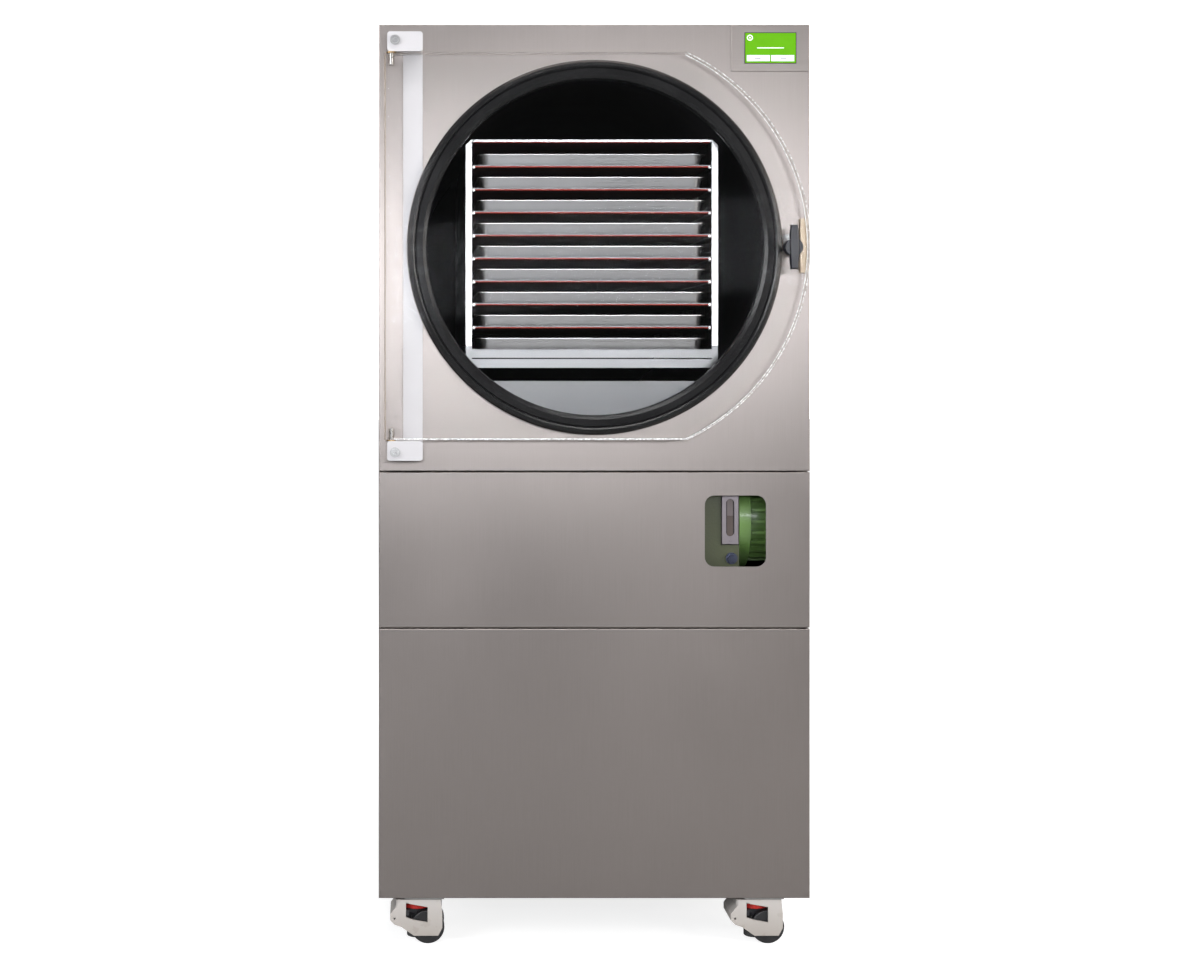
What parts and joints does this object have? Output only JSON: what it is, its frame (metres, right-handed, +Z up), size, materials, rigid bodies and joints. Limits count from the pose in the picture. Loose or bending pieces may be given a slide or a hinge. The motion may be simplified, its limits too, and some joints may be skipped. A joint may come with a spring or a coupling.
{
  "type": "freeze dryer",
  "caption": "Laboratory freeze dryer on levelling casters: brushed steel cabinet, round vacuum chamber with a clear hinged door, heated tray rack and vacuum pump",
  "frame": {"origin": "on the floor, midway between the outermost points in X and in Y", "axes": "+Z up, the front with the door faces -Y, +X to the right of someone who faces the front"},
  "size_m": [0.776, 1.1786, 1.658],
  "materials": {
    "brushed_stainless": "vertically brushed, satin",
    "galvanised_sheet": "zinc-coated sheet",
    "bright_stainless": "bright drawn",
    "bolt_steel": "turned and plated",
    "keeper_steel": "brushed strip",
    "display_glass": "lit colour display behind glass",
    "black_plastic": "moulded",
    "seal_rubber": "moulded, soft sheen",
    "foot_rubber": "moulded",
    "hose_rubber": "reinforced vacuum hose",
    "heater_mat": "red silicone, satin",
    "clear_acrylic": "polished, clear",
    "sight_lens": "clear, oil behind it",
    "hinge_paint": "light grey powder coat",
    "latch_plastic": "moulded, satin",
    "pump_paint": "olive green enamel on a casting",
    "motor_paint": "green enamel",
    "cast_aluminium": "die cast, machined bevel",
    "compressor_paint": "black enamel",
    "coil_aluminium": "mill finish",
    "copper_line": "drawn copper tube",
    "caster_enamel": "ivory coat on a casting",
    "wheel_nylon": "moulded nylon",
    "dial_plastic": "red moulded thumbwheel"
  },
  "bodies": {
    "cabinet": {"base_pan": "galvanised_sheet", "side_panel_left": "brushed_stainless", "side_panel_right": "brushed_stainless", "top_panel": "brushed_stainless", "rear_panel": "brushed_stainless", "front_panel_upper": "brushed_stainless", "front_panel_middle": "brushed_stainless", "front_panel_lower": "brushed_stainless", "equipment_decks": "galvanised_sheet", "control_fascia": "brushed_stainless", "display_screen": "display_glass", "power_inlet": "black_plastic", "chamber_shell": "bright_stainless", "door_seal": "seal_rubber", "rack_frame": "bright_stainless", "rack_shelves": "bright_stainless", "heater_mats": "heater_mat", "hinge_plate": "hinge_paint", "hinge_bolts": "bolt_steel", "hinge_pins": "bolt_steel", "latch_keeper": "keeper_steel", "pump_casing": "pump_paint", "pump_motor": "motor_paint", "sight_frame": "cast_aluminium", "sight_glass": "sight_lens", "oil_drain_plug": "bolt_steel", "vacuum_hose": "hose_rubber", "compressor": "compressor_paint", "condenser_coil": "coil_aluminium", "refrigerant_lines": "copper_line", "caster_plates": "bolt_steel", "tray_1": "bright_stainless", "tray_2": "bright_stainless", "tray_3": "bright_stainless", "tray_4": "bright_stainless", "tray_5": "bright_stainless", "tray_6": "bright_stainless", "tray_7": "bright_stainless", "tray_8": "bright_stainless", "tray_9": "bright_stainless"},
    "door": {"door_panel": "clear_acrylic"},
    "latch": {"latch_handle": "latch_plastic", "latch_tongue": "bolt_steel"},
    "fan": {"fan_rotor": "black_plastic"},
    "caster_front_left": {"caster_housing_front_left": "caster_enamel"},
    "wheel_front_left": {"caster_wheel_front_left": "wheel_nylon"},
    "dial_front_left": {"caster_dial_front_left": "dial_plastic"},
    "foot_front_left": {"caster_foot_front_left": "foot_rubber"},
    "caster_front_right": {"caster_housing_front_right": "caster_enamel"},
    "wheel_front_right": {"caster_wheel_front_right": "wheel_nylon"},
    "dial_front_right": {"caster_dial_front_right": "dial_plastic"},
    "foot_front_right": {"caster_foot_front_right": "foot_rubber"},
    "caster_rear_left": {"caster_housing_rear_left": "caster_enamel"},
    "wheel_rear_left": {"caster_wheel_rear_left": "wheel_nylon"},
    "dial_rear_left": {"caster_dial_rear_left": "dial_plastic"},
    "foot_rear_left": {"caster_foot_rear_left": "foot_rubber"},
    "caster_rear_right": {"caster_housing_rear_right": "caster_enamel"},
    "wheel_rear_right": {"caster_wheel_rear_right": "wheel_nylon"},
    "dial_rear_right": {"caster_dial_rear_right": "dial_plastic"},
    "foot_rear_right": {"caster_foot_rear_right": "foot_rubber"}
  },
  "joints": [
    {"name": "door_hinge", "type": "hinge", "parent": "cabinet", "child": "door", "pos_m": [-0.365, -0.5485, 1.256], "axis": [0, 0, -1], "range_deg": [0, 165]},
    {"name": "latch_turn", "type": "hinge", "parent": "door", "child": "latch", "pos_m": [0.346, -0.56, 1.253], "axis": [0, 1, 0], "range_deg": [0, 90]},
    {"name": "fan_spin", "type": "hinge", "parent": "cabinet", "child": "fan", "pos_m": [-0.12, 0.5426, 0.2865], "axis": [0, 1, 0], "continuous": true},
    {"name": "swivel_front_left", "type": "hinge", "parent": "cabinet", "child": "caster_front_left", "pos_m": [-0.307, -0.4697, 0.08], "axis": [0, 0, 1], "continuous": true},
    {"name": "roll_front_left", "type": "hinge", "parent": "caster_front_left", "child": "wheel_front_left", "pos_m": [-0.2995, -0.4697, 0.03], "axis": [0, 1, 0], "continuous": true},
    {"name": "dial_turn_front_left", "type": "hinge", "parent": "caster_front_left", "child": "dial_front_left", "pos_m": [-0.3195, -0.4697, 0.067], "axis": [0, 0, 1], "range_deg": [0, 2160]},
    {"name": "foot_lower_front_left", "type": "slide", "parent": "caster_front_left", "child": "foot_front_left", "axis": [0, 0, -1], "range_m": [0, 0.012]},
    {"name": "swivel_front_right", "type": "hinge", "parent": "cabinet", "child": "caster_front_right", "pos_m": [0.307, -0.4697, 0.08], "axis": [0, 0, 1], "continuous": true},
    {"name": "roll_front_right", "type": "hinge", "parent": "caster_front_right", "child": "wheel_front_right", "pos_m": [0.3145, -0.4697, 0.03], "axis": [0, 1, 0], "continuous": true},
    {"name": "dial_turn_front_right", "type": "hinge", "parent": "caster_front_right", "child": "dial_front_right", "pos_m": [0.2945, -0.4697, 0.067], "axis": [0, 0, 1], "range_deg": [0, 2160]},
    {"name": "foot_lower_front_right", "type": "slide", "parent": "caster_front_right", "child": "foot_front_right", "axis": [0, 0, -1], "range_m": [0, 0.012]},
    {"name": "swivel_rear_left", "type": "hinge", "parent": "cabinet", "child": "caster_rear_left", "pos_m": [-0.307, 0.5423, 0.08], "axis": [0, 0, 1], "continuous": true},
    {"name": "roll_rear_left", "type": "hinge", "parent": "caster_rear_left", "child": "wheel_rear_left", "pos_m": [-0.2995, 0.5423, 0.03], "axis": [0, 1, 0], "continuous": true},
    {"name": "dial_turn_rear_left", "type": "hinge", "parent": "caster_rear_left", "child": "dial_rear_left", "pos_m": [-0.3195, 0.5423, 0.067], "axis": [0, 0, 1], "range_deg": [0, 2160]},
    {"name": "foot_lower_rear_left", "type": "slide", "parent": "caster_rear_left", "child": "foot_rear_left", "axis": [0, 0, -1], "range_m": [0, 0.012]},
    {"name": "swivel_rear_right", "type": "hinge", "parent": "cabinet", "child": "caster_rear_right", "pos_m": [0.307, 0.5423, 0.08], "axis": [0, 0, 1], "continuous": true},
    {"name": "roll_rear_right", "type": "hinge", "parent": "caster_rear_right", "child": "wheel_rear_right", "pos_m": [0.3145, 0.5423, 0.03], "axis": [0, 1, 0], "continuous": true},
    {"name": "dial_turn_rear_right", "type": "hinge", "parent": "caster_rear_right", "child": "dial_rear_right", "pos_m": [0.2945, 0.5423, 0.067], "axis": [0, 0, 1], "range_deg": [0, 2160]},
    {"name": "foot_lower_rear_right", "type": "slide", "parent": "caster_rear_right", "child": "foot_rear_right", "axis": [0, 0, -1], "range_m": [0, 0.012]}
  ],
  "couplings": [
    {"joint": "dial_turn_front_left", "follows": "foot_lower_front_left", "rad_per_m": 3141.6},
    {"joint": "dial_turn_front_right", "follows": "foot_lower_front_right", "rad_per_m": 3141.6},
    {"joint": "dial_turn_rear_left", "follows": "foot_lower_rear_left", "rad_per_m": 3141.6},
    {"joint": "dial_turn_rear_right", "follows": "foot_lower_rear_right", "rad_per_m": 3141.6}
  ]
}
